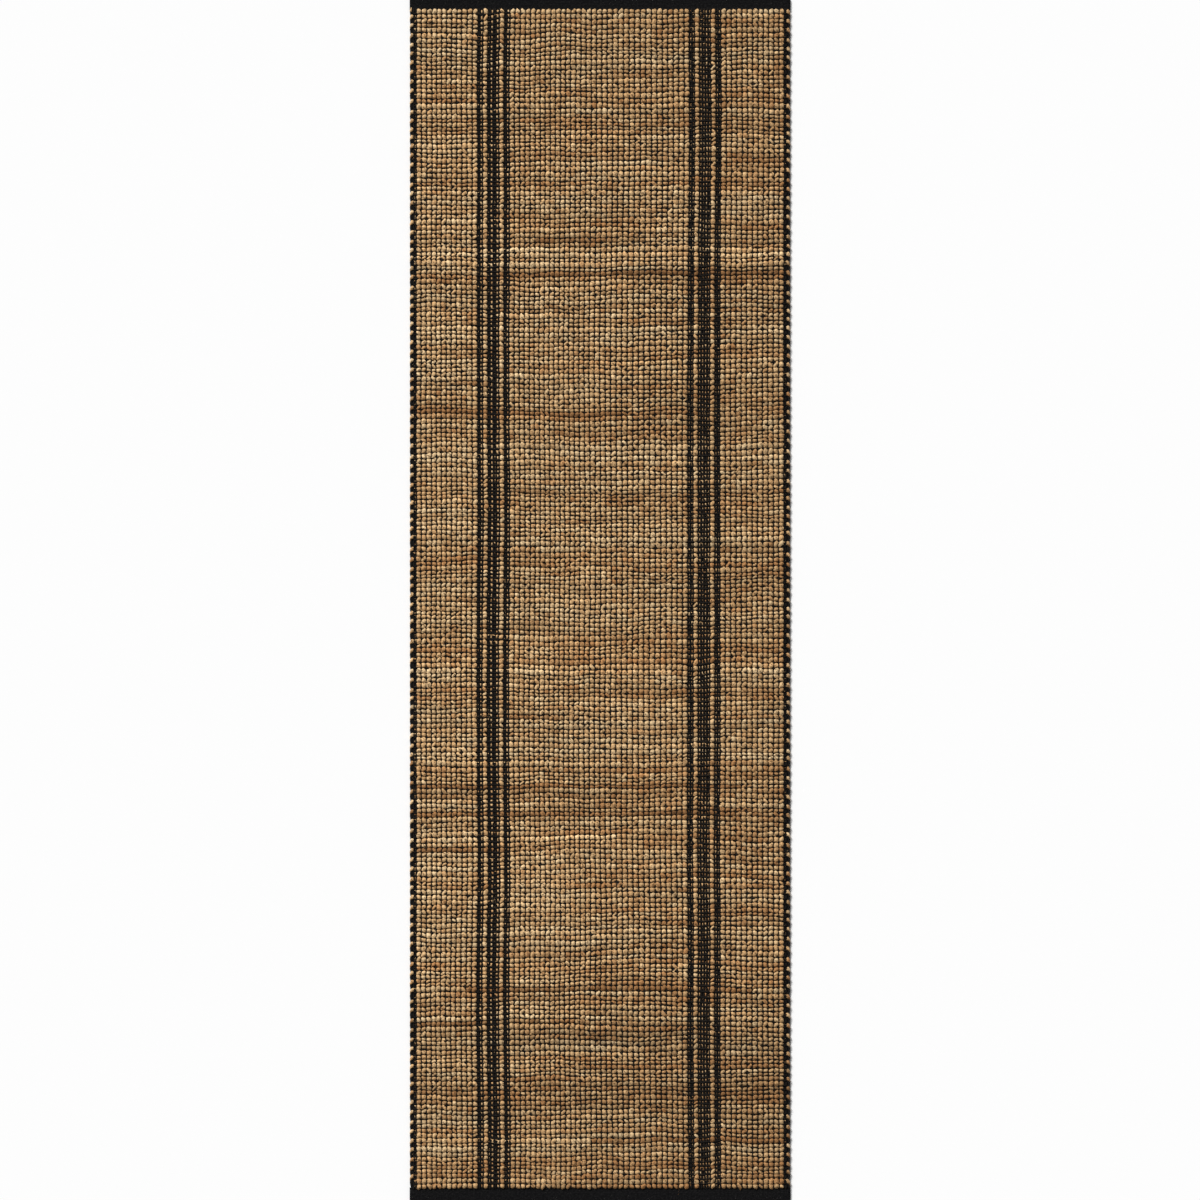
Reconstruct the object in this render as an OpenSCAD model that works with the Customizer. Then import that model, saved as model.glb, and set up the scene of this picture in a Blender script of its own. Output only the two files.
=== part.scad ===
// Runner rug: a thick-and-thin plain weave of jute on black cotton.
// Millimetres. X runs across the rug, Y along it and +Z is up. The origin is the centre of
// the underside, so the rug lies on the plane z = 0.
// The yarn systems are kept apart as they would be on a bench: the thick jute weft in its
// shuttle lengths, the thin binder weft, the black warps zone by zone, the folded hems and
// the thread that sews them. Warps are drawn as straight ribs on the face and on the back,
// with the weft between them.

/* [Rug] */
// Width over the jute turns at both long edges
rug_w = 760; // [640:5:1000]
// Length over both hems
rug_l = 2400; // [2200:10:2600]

/* [Jute weft] */
// Diameter of the packed jute yarn
jute_d = 6.4; // [4:0.2:6.4]
// Rows of jute in one shuttle length, an even number
rows_per_length = 28; // [26:2:28]

/* [Binder weft] */
// Diameter of the thin black pick between two jute rows
binder_d = 1.2; // [0.6:0.1:1.2]

/* [Black warps] */
// Height of a warp where it lies on the jute
warp_t = 0.8; // [0.6:0.1:1.5]
// Width of one warp line in the plain fields
field_warp_w = 2.4; // [1.5:0.1:3]
// Width of one warp line in the stripe bands
stripe_warp_w = 3.4; // [2:0.1:3.6]
// Width of one warp line in the selvedges
selvedge_warp_w = 2.6; // [1.5:0.1:2.8]

/* [Zones across the rug] */
// Width of jute that shows outside each selvedge
edge_loop_w = 6.2; // [4:0.1:7]
// Width of each selvedge bundle
selvedge_w = 6; // [5.8:0.1:8]
// Width of the plain border on the left
left_border_w = 121; // [100:1:132]
// Width of the plain border on the right
right_border_w = 129; // [100:1:132]
// Columns of jute beads in each border
border_cols = 12; // [8:1:12]
// Columns of jute beads in the centre field
centre_cols = 34; // [20:1:34]
// Width of the outer and the inner band of each stripe
narrow_band_w = 10.6; // [9:0.1:12]
// Width of the middle band of each stripe
wide_band_w = 22; // [18:0.1:26]
// Width of the single jute column on each side of a middle band
single_col_w = 10.4; // [9:0.1:12]

/* [Hems] */
// Least mean length of the two black ends, from the last jute row to the fold
least_end = 20; // [18:1:40]
// How much longer the foot's black end is than the head's
foot_extra = 5; // [0:1:10]
// Length over which the two warp layers close down to the hem
draw_in = 4; // [3:0.5:6]
// Thickness of one leaf of the folded heading
leaf_t = 1.9; // [1:0.1:2.2]
// Gap between the two leaves
leaf_gap = 0.2; // [0.1:0.1:0.4]

/* [Hem stitching] */
// Length of one stitch
stitch_l = 5; // [3:0.5:6]
// Distance from one stitch to the next
stitch_pitch = 8; // [7:0.5:12]
// Diameter of the thread
thread_d = 0.7; // [0.4:0.1:0.9]
// Distance of the seam from the inner edge of the hem
seam_inset = 3; // [2:0.5:6]

/* [Hidden] */
$fn = 24;

jute_colour = "#B98F60";
black_colour = "#1C1B1C";
hem_colour = "#242325";
thread_colour = "#2E2D30";

// Heights
rug_t = jute_d + 2 * warp_t;          // thickness of the woven cloth
weft_z = rug_t / 2;                   // the yarn axes of both wefts
hem_t = 2 * leaf_t + leaf_gap;        // the folded hem is thinner than the cloth

// Rows along the rug. The pitch is rounded down to even hundredths, so that the turns meet
// the rows exactly, and the two ends share what is left over.
shuttle_lengths = 9;
rows = rows_per_length * shuttle_lengths;
pitch_step = 0.02;
row_pitch = pitch_step * floor((rug_l - 2 * least_end) / rows / pitch_step);
cloth_l = rows * row_pitch;
cloth_y1 = (cloth_l + foot_extra) / 2; // edge of the last jute row, at the head
cloth_y0 = cloth_y1 - cloth_l;         // edge of the first jute row, at the foot

// Edges of the zones, from the left edge of the rug to the right one
left_edge = -rug_w / 2;
right_edge = rug_w / 2;
stripe_w = 2 * narrow_band_w + 2 * single_col_w + wide_band_w;
border_left_x = left_edge + edge_loop_w + selvedge_w;
stripe_left_x = border_left_x + left_border_w;
centre_x = stripe_left_x + stripe_w;
border_right_x = right_edge - edge_loop_w - selvedge_w;
stripe_right_x = border_right_x - right_border_w;
centre_end_x = stripe_right_x - stripe_w;

// The jute turns at the edges
turn_r = row_pitch / 2;
turn_x = rug_w / 2 - turn_r - jute_d / 2;

// Ribs that share a zone, on the face and on the back
narrow_band_ribs = 3;
wide_band_ribs = 5;
selvedge_ribs = 2;

function row_y(i) = cloth_y0 + (i + 0.5) * row_pitch;

// One straight rib along the rug, centred on x, with its underside at z.
module rib(x, w, z) {
    translate([x - w / 2, cloth_y0, z]) cube([w, cloth_l, warp_t]);
}

module face_rib(x, w) { rib(x, w, rug_t - warp_t); }
module back_rib(x, w) { rib(x, w, 0); }

// The wedge at one end of a zone, where its face and back warps close down to the hem.
module close_down(x0, x1) {
    wedge = [[0, 0], [0, rug_t], [draw_in, hem_t], [draw_in, 0]];
    translate([x0, cloth_y1, 0]) rotate([90, 0, 90])
        linear_extrude(x1 - x0) polygon(wedge);
    translate([x1, cloth_y0, 0]) rotate([90, 0, -90])
        linear_extrude(x1 - x0) polygon(wedge);
}

// Warps of a plain field from x0 to x1: a face rib between each two bead columns and a
// back rib under the middle of each column.
module field_warps(x0, x1, cols) {
    pitch = (x1 - x0) / cols;
    color(black_colour) union() {
        close_down(x0, x1);
        for (i = [1 : cols - 1]) face_rib(x0 + i * pitch, field_warp_w);
        for (i = [0 : cols - 1]) back_rib(x0 + (i + 0.5) * pitch, field_warp_w);
    }
}

// Warps of one stripe band from x0 to x1. The face ribs start and end on the band's edges,
// and a back rib lies under each gap. side_w is the width that the band's end wedges take in
// beyond each edge, with a back rib in its middle.
module band_warps(x0, x1, ribs, side_w = 0) {
    step = (x1 - x0) / (ribs - 1);
    color(black_colour) union() {
        close_down(x0 - side_w, x1 + side_w);
        for (i = [0 : ribs - 1]) face_rib(x0 + i * step, stripe_warp_w);
        for (i = [0 : ribs - 2]) back_rib(x0 + (i + 0.5) * step, field_warp_w);
        if (side_w > 0)
            for (x = [x0 - side_w / 2, x1 + side_w / 2]) back_rib(x, field_warp_w);
    }
}

// The bundle of warps along one long edge. x0 is the rug's edge, and x1 the field's.
module selvedge_warps(x0, x1) {
    inward = sign(x1 - x0);
    gap = (selvedge_w - selvedge_ribs * selvedge_warp_w) / selvedge_ribs;
    color(black_colour) union() {
        close_down(min(x0, x1), max(x0, x1));
        for (i = [0 : selvedge_ribs - 1]) {
            x = x0 + inward * (edge_loop_w + gap / 2 + selvedge_warp_w / 2
                               + i * (selvedge_warp_w + gap));
            face_rib(x, selvedge_warp_w);
            back_rib(x, selvedge_warp_w);
        }
    }
}

module selvedge_left() { selvedge_warps(left_edge, border_left_x); }
module selvedge_right() { selvedge_warps(right_edge, border_right_x); }
module border_warps_left() { field_warps(border_left_x, stripe_left_x, border_cols); }
module border_warps_right() { field_warps(stripe_right_x, border_right_x, border_cols); }
module centre_warps() { field_warps(centre_x, centre_end_x, centre_cols); }

module outer_band_left() {
    band_warps(stripe_left_x, stripe_left_x + narrow_band_w, narrow_band_ribs);
}
module middle_band_left() {
    x0 = stripe_left_x + narrow_band_w + single_col_w;
    band_warps(x0, x0 + wide_band_w, wide_band_ribs, single_col_w);
}
module inner_band_left() {
    band_warps(centre_x - narrow_band_w, centre_x, narrow_band_ribs);
}
module inner_band_right() {
    band_warps(centre_end_x, centre_end_x + narrow_band_w, narrow_band_ribs);
}
module middle_band_right() {
    x0 = centre_end_x + narrow_band_w + single_col_w;
    band_warps(x0, x0 + wide_band_w, wide_band_ribs, single_col_w);
}
module outer_band_right() {
    band_warps(stripe_right_x - narrow_band_w, stripe_right_x, narrow_band_ribs);
}

// One row of jute, from turn to turn.
module jute_row(i) {
    translate([-turn_x, row_y(i), weft_z]) rotate([0, 90, 0])
        cylinder(d = jute_d, h = 2 * turn_x);
}

// The half turn from row i to the next one: at the right edge after an even row, and at the
// left edge after an odd one.
module jute_turn(i) {
    side = i % 2 == 0 ? 1 : -1;
    translate([side * turn_x, row_y(i) + turn_r, weft_z]) rotate([0, 0, -side * 90])
        rotate_extrude(angle = 180) translate([turn_r, 0]) circle(d = jute_d);
}

// One shuttle length of jute: its rows in one zigzag, with the turn that meets the next
// length.
module jute_weft(number) {
    first = (number - 1) * rows_per_length;
    last = first + rows_per_length - 1;
    color(jute_colour) union() {
        for (i = [first : last]) jute_row(i);
        for (i = [first : min(last, rows - 2)]) jute_turn(i);
    }
}

// The thin black picks, one in each valley between two jute rows.
module binder_weft() {
    reach = rug_w / 2 - edge_loop_w;
    color(black_colour)
        for (i = [0 : rows - 2])
            translate([-reach, row_y(i) + row_pitch / 2, weft_z]) rotate([0, 90, 0])
                cylinder(d = binder_d, h = 2 * reach);
}

// The flat-woven heading of one end, end_l long and folded under on itself, with y = 0 at
// the last jute row. Y grows towards the fold.
module hem(end_l) {
    fold_r = hem_t / 2;
    leaf_l = end_l - draw_in - fold_r;
    translate([left_edge, 0, 0]) rotate([90, 0, 90]) linear_extrude(rug_w)
        union() {
            translate([draw_in, hem_t - leaf_t]) square([leaf_l, leaf_t]);
            translate([draw_in, 0]) square([leaf_l, leaf_t]);
            translate([draw_in + leaf_l, fold_r]) difference() {
                circle(r = fold_r);
                circle(d = leaf_gap);
                translate([-hem_t, -hem_t]) square([hem_t, 2 * hem_t]);
            }
        }
}

module hem_head() {
    color(hem_colour) translate([0, cloth_y1, 0]) hem(rug_l / 2 - cloth_y1);
}

module hem_foot() {
    color(hem_colour) translate([0, cloth_y0, 0]) mirror([0, 1, 0])
        hem(rug_l / 2 + cloth_y0);
}

// The seam that closes a hem: a row of stitches lying on its upper leaf.
module hem_thread(y) {
    count = floor((rug_w - stitch_pitch) / stitch_pitch);
    row_l = (count - 1) * stitch_pitch + stitch_l;
    color(thread_colour)
        for (i = [0 : count - 1])
            translate([-row_l / 2 + i * stitch_pitch, y, hem_t + thread_d / 2])
                rotate([0, 90, 0]) cylinder(d = thread_d, h = stitch_l);
}

module hem_thread_head() { hem_thread(cloth_y1 + draw_in + seam_inset); }
module hem_thread_foot() { hem_thread(cloth_y0 - draw_in - seam_inset); }

jute_weft(1);  // jute_weft_1
jute_weft(2);  // jute_weft_2
jute_weft(3);  // jute_weft_3
jute_weft(4);  // jute_weft_4
jute_weft(5);  // jute_weft_5
jute_weft(6);  // jute_weft_6
jute_weft(7);  // jute_weft_7
jute_weft(8);  // jute_weft_8
jute_weft(9);  // jute_weft_9
binder_weft();
selvedge_left();
border_warps_left();
outer_band_left();
middle_band_left();
inner_band_left();
centre_warps();
inner_band_right();
middle_band_right();
outer_band_right();
border_warps_right();
selvedge_right();
hem_head();
hem_foot();
hem_thread_head();
hem_thread_foot();
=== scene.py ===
"""Runner rug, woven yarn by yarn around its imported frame.

The cloth is a thick-and-thin plain weave. One chunky jute weft runs back and forth, with a
thin black binder pick in each valley between its rows. The black warps come in pairs: on
every warp line a face warp lies over the jute and dips under the binder, and behind every
bead of jute a back warp does the opposite. Both ends are black headings, folded under and
sewn down.

Sizes are in metres. X runs across the rug, Y along it and +Z is up.
"""

import logging
import math
from dataclasses import dataclass, field
from enum import Enum

import bpy
import numpy as np
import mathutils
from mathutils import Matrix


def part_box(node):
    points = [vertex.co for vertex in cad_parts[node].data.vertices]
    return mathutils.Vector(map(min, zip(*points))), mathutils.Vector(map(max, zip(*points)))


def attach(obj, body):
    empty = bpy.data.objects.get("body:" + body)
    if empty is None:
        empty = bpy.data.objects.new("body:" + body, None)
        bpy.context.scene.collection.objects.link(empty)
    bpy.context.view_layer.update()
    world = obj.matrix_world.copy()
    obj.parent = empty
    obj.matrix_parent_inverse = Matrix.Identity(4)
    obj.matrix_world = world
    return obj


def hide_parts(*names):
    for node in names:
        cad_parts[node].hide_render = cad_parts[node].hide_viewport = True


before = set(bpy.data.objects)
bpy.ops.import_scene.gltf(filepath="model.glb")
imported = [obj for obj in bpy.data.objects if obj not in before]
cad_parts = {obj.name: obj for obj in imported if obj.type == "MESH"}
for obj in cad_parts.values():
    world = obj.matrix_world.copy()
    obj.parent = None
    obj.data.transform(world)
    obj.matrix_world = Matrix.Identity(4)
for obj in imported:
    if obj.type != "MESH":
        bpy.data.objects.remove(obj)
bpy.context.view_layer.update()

MM = 0.001
BODY = "root"
YARN_MAP = "yarn"
# Unit vectors across the rug, along it and upward.
ACROSS = (1.0, 0.0, 0.0)
ALONG = (0.0, 1.0, 0.0)
UPWARD = (0.0, 0.0, 1.0)
Array = np.ndarray
Colour = tuple[float, float, float]
Vector = tuple[float, float, float]
Input = bpy.types.NodeSocket | float | tuple

NUMBER = "NodeSocketFloat"
VECTOR = "NodeSocketVector"
# How the yarn's map is stretched for its fibres and its locks: along it, then across it.
FIBRE_STRETCH = (0.10, 1.0, 1.0)
LOCK_STRETCH = (0.12, 0.30, 0.30)
# How places are stretched for the lint, the least noise that is lint, and its soft edge.
LINT_STRETCH = (380.0, 1300.0, 700.0)
LINT_TOP = 0.82
LINT_EDGE = 0.12
THREAD_BLACK = (0.016, 0.015, 0.016)
LINT_PALE = (0.16, 0.15, 0.14)

log = logging.getLogger("runner_rug")


# ---------------------------------------------------------------------------- shapes


def smoothed(values: Array, width: float, axis: int) -> Array:
    """Average values along one axis under a bell, by damping its fast waves.

    Args:
        values: The values to even out. They are taken to repeat past their ends.
        width: The bell's standard deviation, in samples.
        axis: The axis to work along.

    Returns:
        The evened values, in the same shape.
    """
    count = values.shape[axis]
    damping = np.exp(-2.0 * (np.pi * np.fft.rfftfreq(count) * width) ** 2)
    waves = np.moveaxis(np.fft.rfft(values, axis=axis), axis, -1) * damping
    return np.fft.irfft(np.moveaxis(waves, -1, axis), n=count, axis=axis)


def uneven(rng: np.random.Generator, shape: tuple[int, ...], widths: tuple[float, ...]) -> Array:
    """Draw smooth unevenness with a mean of nought and a spread of one.

    Args:
        rng: The source of chance.
        shape: The shape of the result.
        widths: How far the unevenness reaches along each axis, in samples.

    Returns:
        The values, in the given shape.
    """
    values = rng.standard_normal(shape)
    for axis, width in enumerate(widths):
        if width > 0:
            values = smoothed(values, width, axis)
    return (values - values.mean()) / values.std()


def middles(values: Array) -> Array:
    """Halve the way between neighbours along the first axis."""
    return (values[:-1] + values[1:]) / 2.0


def at_lines(cells: Array) -> Array:
    """Turn (rows, cells) into (rows, lines): the mean of the cells beside each line."""
    padded = np.concatenate([cells[:, :1], cells, cells[:, -1:]], axis=1)
    return middles(padded.T).T


def tube(
    path: Array,
    half_width: Array | float,
    half_height: Array | float,
    side: Vector,
    around: int,
    square: float = 1.0,
    lobe: float = 0.0,
    lobe_turn: Array | float = 0.0,
    lumps: Array | float = 0.0,
) -> Array:
    """Carry a section along paths.

    A section point at angle a is the path's point, plus cos(a) times the half width along
    `side`, plus sin(a) times the half height along the cross product of the path's direction
    and `side`. Both waves are raised to the power `square`, with their signs kept, which
    squares the section's corners. The radius swells by lobe * cos(2a - lobe_turn), which
    makes the two plies, and by the lumps.

    Args:
        path: Points of the paths, as (strands, stations, 3).
        half_width: Half the section's size along `side`, as a number or (strands, stations).
        half_height: Half its size across `side`, as a number or (strands, stations).
        side: Unit vector of the section's width.
        around: Points round the section.
        square: Power of the two waves, 1 for an ellipse.
        lobe: How far the two lobes swell, as a share of the radius.
        lobe_turn: The angle of the lobes, as a number or (strands, stations).
        lumps: More swelling, as a number or (strands, stations, around).

    Returns:
        Skin points as (strands, stations, around, 3).
    """
    width_way = np.array(side, float)
    height_way = np.cross(np.gradient(path, axis=1), width_way)
    height_way /= np.linalg.norm(height_way, axis=-1, keepdims=True)
    angle = np.arange(around) * 2.0 * np.pi / around
    across = np.sign(np.cos(angle)) * np.abs(np.cos(angle)) ** square
    upward = np.sign(np.sin(angle)) * np.abs(np.sin(angle)) ** square
    swell = 1.0 + lobe * np.cos(2.0 * angle - np.asarray(lobe_turn)[..., None]) + lumps
    wide = (np.asarray(half_width)[..., None] * across * swell)[..., None]
    tall = (np.asarray(half_height)[..., None] * upward * swell)[..., None]
    return path[:, :, None] + wide * width_way + tall * height_way[:, :, None]


def closed_strands(name: str, rings: Array, marks: dict[str, Array] | None = None) -> bpy.types.Object:
    """Make one piece from closed strands of skin.

    The wall of each strand is a grid of four-sided faces that wraps round it, and one
    many-sided face closes each end. The map named "yarn" holds the metres along a strand and
    the metres round it.

    Args:
        name: The piece's name.
        rings: Skin points as (strands, stations, around, 3), counter-clockwise as seen from
            the strand's end.
        marks: Named values, kept as point attributes, as (strands, stations) or with one
            value for each skin point.

    Returns:
        The new piece, at the origin.
    """
    strands, stations, around, _ = rings.shape
    ring = np.arange(strands * stations * around).reshape(strands, stations, around)
    turned = np.roll(ring, -1, axis=2)
    walls = np.stack([ring[:, :-1], turned[:, :-1], turned[:, 1:], ring[:, 1:]], axis=-1)
    corners = np.concatenate([walls.ravel(), ring[:, 0, ::-1].ravel(), ring[:, -1].ravel()])
    sides = np.concatenate([np.full(walls[..., 0].size, 4), np.full(2 * strands, around)])

    mesh = bpy.data.meshes.new(name)
    mesh.vertices.add(ring.size)
    mesh.vertices.foreach_set("co", rings.astype(np.float32).ravel())
    mesh.loops.add(corners.size)
    mesh.loops.foreach_set("vertex_index", corners.astype(np.int32))
    mesh.polygons.add(sides.size)
    mesh.polygons.foreach_set("loop_start", (np.cumsum(sides) - sides).astype(np.int32))
    mesh.polygons.foreach_set("use_smooth", np.ones(sides.size, bool))
    mesh.update(calc_edges=True)

    along, girth = yarn_lengths(rings)
    round_it = np.arange(around + 1) * girth / around
    u = np.stack([along[:, :-1], along[:, :-1], along[:, 1:], along[:, 1:]], axis=-1)
    v = np.stack([round_it[:-1], round_it[1:], round_it[1:], round_it[:-1]], axis=-1)
    wall_map = np.stack(np.broadcast_arrays(u[:, :, None, :], v), axis=-1)
    end_u = np.concatenate([along[:, 0], along[:, -1]])[:, None]
    end_map = np.stack(np.broadcast_arrays(end_u, round_it[None, :-1]), axis=-1)
    layer = mesh.uv_layers.new(name=YARN_MAP)
    both = np.concatenate([wall_map.ravel(), end_map.ravel()])
    layer.uv.foreach_set("vector", both.astype(np.float32))
    for mark, values in (marks or {}).items():
        full = values if values.ndim == 3 else np.repeat(values[..., None], around, axis=2)
        flat = full.astype(np.float32).ravel()
        mesh.attributes.new(mark, "FLOAT", "POINT").data.foreach_set("value", flat)
    piece = bpy.data.objects.new(name, mesh)
    bpy.context.collection.objects.link(piece)
    return piece


def yarn_lengths(rings: Array) -> tuple[Array, float]:
    """Measure skin points: the way along each strand's middle, and the mean way round it."""
    middle = rings.mean(axis=2)
    steps = np.linalg.norm(np.diff(middle, axis=1), axis=-1)
    along = np.concatenate([np.zeros((len(rings), 1)), np.cumsum(steps, axis=1)], axis=1)
    girth = np.linalg.norm(rings - np.roll(rings, 1, axis=2), axis=-1).sum(axis=2).mean()
    return along, float(girth)


def install(piece: bpy.types.Object, node: str | None, look: bpy.types.Material) -> None:
    """Give a piece its body, the node that it stands for and its look.

    Args:
        piece: The piece.
        node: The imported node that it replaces, or None for a piece beside the nodes.
        look: The finished material.
    """
    piece.data.materials.append(look)
    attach(piece, BODY)
    if node is not None:
        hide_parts(node)
    faces = len(piece.data.loops) - 2 * len(piece.data.polygons)
    log.info("%s: %d triangles, stands for %s", piece.name, faces, node)


# ------------------------------------------------------------------------- the loom


@dataclass(frozen=True)
class Zone:
    """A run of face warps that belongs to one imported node.

    Attributes:
        title: The words that name the zone's pieces.
        node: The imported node.
        lines: X of each face warp, from left to right.
        half_width: Half the width of one face warp.
        crowded: True where the lines lie so close that only specks of jute show.
    """

    title: str
    node: str
    lines: Array
    half_width: float
    crowded: bool


class Place(Enum):
    """A place along a jute row: height of the yarn's axis, share of the breadth, half height."""

    LINE = (3.0 * MM, 0.68, 2.5 * MM)
    FOOT = (3.15 * MM, 0.74, 2.55 * MM)
    CREST = (4.7 * MM, 1.0, 3.2 * MM)
    SPECK = (3.0 * MM, 0.68, 2.5 * MM)


@dataclass
class Loom:
    """The plan of the weave: warp lines across the rug, jute rows along it.

    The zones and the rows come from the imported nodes' boxes. Hand weaving then moves the
    lines and rows a little, and makes the jute thick and thin. Reaches are in rows and in
    lines or cells, and spreads are shares of the mean.
    """

    rows_per_length: int = 28
    lengths: int = 9
    jute_d: float = 6.4 * MM
    selvedge_at: float = 8.0 * MM
    selvedge_step: float = 4.7 * MM
    wide_band: float = 23.2 * MM
    field_half: float = 1.5 * MM
    band_half: float = 2.3 * MM
    selvedge_half: float = 2.6 * MM
    pairing: float = 0.14
    border_crowding: float = 0.08
    centre_crowding: float = 0.018
    bow: float = 1.3 * MM
    left_shift: float = 3.2 * MM
    wander: float = 1.0 * MM
    line_shake: float = 0.32 * MM
    sway: float = 2.2 * MM
    corner_drop: float = 2.0 * MM
    settle_rows: float = 5.0
    end_gap: float = 1.7 * MM
    row_spread: float = 0.13
    stretch_spread: float = 0.10
    bead_spread: float = 0.13
    slub_share: float = 0.02
    slub: float = 0.3
    thinnest: float = 0.62
    thickest: float = 1.5
    border_columns: int = 12
    centre_columns: int = 34
    stretch_reach: float = 4.5
    bead_reach: float = 0.45
    bead_stations: tuple[float, ...] = (0.14, 0.34, 0.66, 0.86)
    wander_reach: tuple[float, float] = (11.0, 9.0)
    shake_rows: float = 0.8
    sway_reach: tuple[float, float] = (18.0, 11.0)
    sway_fade_rows: float = 14.0
    edge_fade: float = 30.0 * MM
    settled_cells: float = 1.6
    settled_rows: float = 9.0
    corner_width: float = 35.0 * MM
    corner_rows: float = 7.0
    seed: int = 11
    zones: list[Zone] = field(default_factory=list)

    def __post_init__(self) -> None:
        """Lay out the zones, then draw the unevenness in a fixed order."""
        self.rng = np.random.default_rng(self.seed)
        self.rows = self.rows_per_length * self.lengths
        first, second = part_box("jute_weft_1")[0].y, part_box("jute_weft_2")[0].y
        self.pitch = (second - first) / self.rows_per_length
        self.row_at = first + self.jute_d / 2 + self.pitch * np.arange(self.rows)
        self.foot_y = self.row_at[0] - self.pitch / 2
        self.head_y = self.row_at[-1] + self.pitch / 2
        self.zones = self.lay_out()
        self.line_at = np.concatenate([zone.lines for zone in self.zones])
        counts = [len(zone.lines) for zone in self.zones]
        self.zone_of_line = np.repeat(np.arange(len(self.zones)), counts)
        crowded = np.array([zone.crowded for zone in self.zones])[self.zone_of_line]
        same = self.zone_of_line[:-1] == self.zone_of_line[1:]
        self.speck = same & crowded[:-1]
        self.set_stations()
        self.bulk = self.draw_bulk()
        self.line_x = self.draw_lines()
        self.row_y = self.draw_rows()

    def lay_out(self) -> list[Zone]:
        """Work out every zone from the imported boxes, from left to right.

        Returns:
            The zones. A field's lines stand between its beads, and a band's first and last
            lines stand on its edges.
        """
        low, high = {}, {}
        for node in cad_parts:
            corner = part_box(node)
            low[node], high[node] = corner[0].x, corner[1].x
        zones = []
        for hand in ("left", "right"):
            edge = low["selvedge_left"] if hand == "left" else high["selvedge_right"]
            inward = -np.sign(edge)
            border, middle = f"border_warps_{hand}", f"middle_band_{hand}"
            ends = np.array([low[border], high[border]])
            middle_x = np.array([low[middle], high[middle]])
            centre_x = low["centre_warps"] if hand == "left" else high["centre_warps"]
            outer_x = np.sort([ends[np.abs(ends).argmin()], middle_x[np.abs(middle_x).argmax()]])
            inner_x = np.sort([centre_x, middle_x[np.abs(middle_x).argmin()]])
            wide = middle_x.mean() + np.array([-0.5, 0.5]) * self.wide_band
            selvedge = edge + inward * (self.selvedge_at + self.selvedge_step * np.arange(2))
            crowding = self.border_crowding if hand == "left" else 0.0
            share = np.arange(1, self.border_columns) / self.border_columns
            share -= crowding * share * (1.0 - share)
            border_x = ends[0] + share * np.ptp(ends)
            inner = [Zone(f"{hand}_border", border, border_x, self.field_half, False)]
            bands = {"outer": (outer_x, 3), "middle": (wide, 5), "inner": (inner_x, 3)}
            for title, (span, count) in bands.items():
                at = np.linspace(0.0, 1.0, count)
                if hand == "left":
                    at[1::2] -= self.pairing * 2.0 / (count - 1)
                lines = span[0] + at * (span[1] - span[0])
                node = f"{title}_band_{hand}"
                inner.append(Zone(f"{hand}_{title}_band", node, lines, self.band_half, True))
            node, lines = f"selvedge_{hand}", np.sort(selvedge)
            edge_zone = Zone(f"{hand}_selvedge", node, lines, self.selvedge_half, True)
            if hand == "left":
                node = "centre_warps"
                share = np.arange(1, self.centre_columns) / self.centre_columns
                share -= self.centre_crowding * np.sin(np.pi * share) ** 2
                x = low[node] + share * (high[node] - low[node])
                zones += [edge_zone, *inner, Zone("centre", node, x, self.field_half, False)]
            else:
                zones += [*inner[::-1], edge_zone]
        return zones

    def set_stations(self) -> None:
        """List the places along a row.

        A bead has a foot and a crest on each side, a speck has one place, and each line
        beside a speck has one. Between two beads the yarn runs flat under the line.
        """
        places = (Place.FOOT, Place.CREST, Place.CREST, Place.FOOT)
        bead = list(zip(self.bead_stations, places))
        line, part, place = [0], [0.0], [Place.LINE]
        for cell, is_speck in enumerate(self.speck):
            inside = [(0.5, Place.SPECK)] if is_speck else bead
            line += [cell] * len(inside)
            part += [at for at, _ in inside]
            place += [kind for _, kind in inside]
            if is_speck or cell + 1 == len(self.speck) or self.speck[cell + 1]:
                line.append(cell + 1)
                part.append(0.0)
                place.append(Place.LINE)
        self.station_line = np.array(line)
        self.station_part = np.array(part)
        rise, breadth, half_height = np.array([kind.value for kind in place]).T
        self.station_rise, self.station_breadth, self.station_half_height = rise, breadth, half_height

    def draw_bulk(self) -> Array:
        """Draw the jute's thickness in each cell, as a share of the mean.

        Returns:
            (rows, cells): one, plus unevenness from row to row, along the yarn and from bead
            to bead, and now and then a slub.
        """
        shape = (self.rows, len(self.speck))
        bulk = 1.0 + self.row_spread * uneven(self.rng, (self.rows, 1), (0.0, 0.0))
        bulk = bulk + self.stretch_spread * uneven(self.rng, shape, (0.0, self.stretch_reach))
        bulk = bulk + self.bead_spread * uneven(self.rng, shape, (0.0, self.bead_reach))
        bulk = bulk + self.slub * (self.rng.random(shape) < self.slub_share)
        return np.clip(bulk / bulk.mean(), self.thinnest, self.thickest)

    def draw_lines(self) -> Array:
        """Draw where each warp line crosses each row, as (rows, lines) of X.

        The lines bow to the right towards both ends, lie a little to the right on the
        left-hand side, wander together in slow waves, and each shakes a little by itself.
        """
        shape = (self.rows, len(self.line_at))
        bow = -self.bow * np.cos(2.0 * np.pi * self.row_at / np.ptp(self.row_at))[:, None]
        bow = bow + self.left_shift * (0.5 - self.line_at / np.ptp(self.line_at))
        wander = self.wander * uneven(self.rng, shape, self.wander_reach)
        shake = self.line_shake * uneven(self.rng, shape, (self.shake_rows, 0.0))
        from_edge = self.line_at[-1] - np.abs(self.line_at)
        inside = np.clip(from_edge / self.edge_fade, 0.0, 1.0)
        return self.line_at + (bow + wander) * inside + shake

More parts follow.
